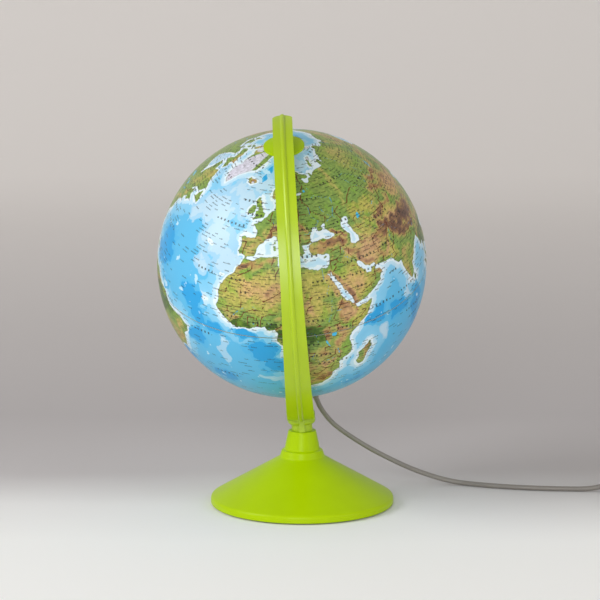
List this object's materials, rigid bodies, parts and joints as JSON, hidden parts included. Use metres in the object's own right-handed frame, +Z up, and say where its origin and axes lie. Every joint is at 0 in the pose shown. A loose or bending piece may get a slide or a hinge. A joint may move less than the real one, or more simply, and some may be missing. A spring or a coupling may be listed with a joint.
{
  "type": "illuminated desktop globe",
  "caption": "Illuminated desktop globe on a leaning half meridian arm and a cone foot, with its lamp inside and a lead with switch and plug.",
  "frame": {"origin": "centre of the foot pad's underside, on the table", "axes": "+Z up along the base's axis; the north pole and the arm lean towards -Y; the lead leaves towards +X"},
  "size_m": [0.604, 0.2833, 0.3849],
  "materials": {
    "lime_plastic": "smooth moulded ABS, semi-gloss",
    "printed_ball": "printed relief map under clear lacquer",
    "white_plastic": "plain moulded",
    "lampholder_plastic": "heat-resistant moulded",
    "grey_plastic": "fine spark-eroded texture",
    "dark_plastic": "plain moulded",
    "cord_sheath": "smooth extruded sheath",
    "iron_ballast": "as cast",
    "plated_steel": "zinc plated",
    "lamp_brass": "stamped and turned",
    "bulb_glass": "opal",
    "pad_foam": "closed-cell foam"
  },
  "bodies": {
    "stand": {"base_shell": "lime_plastic", "base_ballast": "iron_ballast", "ballast_screws": "plated_steel", "base_cover": "grey_plastic", "base_pad": "pad_foam", "arm_screw": "plated_steel", "arm_washer": "plated_steel", "meridian_arm": "lime_plastic", "north_pivot_pin": "plated_steel", "hub_cover": "lime_plastic", "lamp_nipple": "lamp_brass", "lamp_nut": "lamp_brass", "lampholder_body": "lampholder_plastic", "lampholder_shell": "lamp_brass", "lampholder_contact": "lamp_brass", "bulb_cap": "plated_steel", "bulb_glass": "bulb_glass", "strain_relief": "cord_sheath", "cord_run": "cord_sheath", "switch_case_lower": "grey_plastic", "switch_case_upper": "grey_plastic", "switch_screws": "plated_steel", "cord_lead": "cord_sheath", "cord_coil": "cord_sheath", "cord_tie": "dark_plastic", "cord_tail": "cord_sheath", "plug_body": "grey_plastic", "plug_pins": "plated_steel"},
    "globe": {"north_cap": "lime_plastic", "north_retaining_ring": "plated_steel", "north_hemisphere": "printed_ball", "south_hemisphere": "printed_ball", "equator_ring": "white_plastic", "south_bearing_ring": "white_plastic"},
    "rocker": {"switch_rocker": "dark_plastic"}
  },
  "joints": [
    {"name": "globe_spin", "type": "hinge", "parent": "stand", "child": "globe", "pos_m": [-0.01004, 0, 0.23719], "axis": [-0.056, -0.3987, 0.9153], "continuous": true},
    {"name": "rocker_tilt", "type": "hinge", "parent": "stand", "child": "rocker", "pos_m": [0.344, 0.045, 0.0135], "axis": [0, 1, 0], "range_deg": [0, 16]}
  ]
}
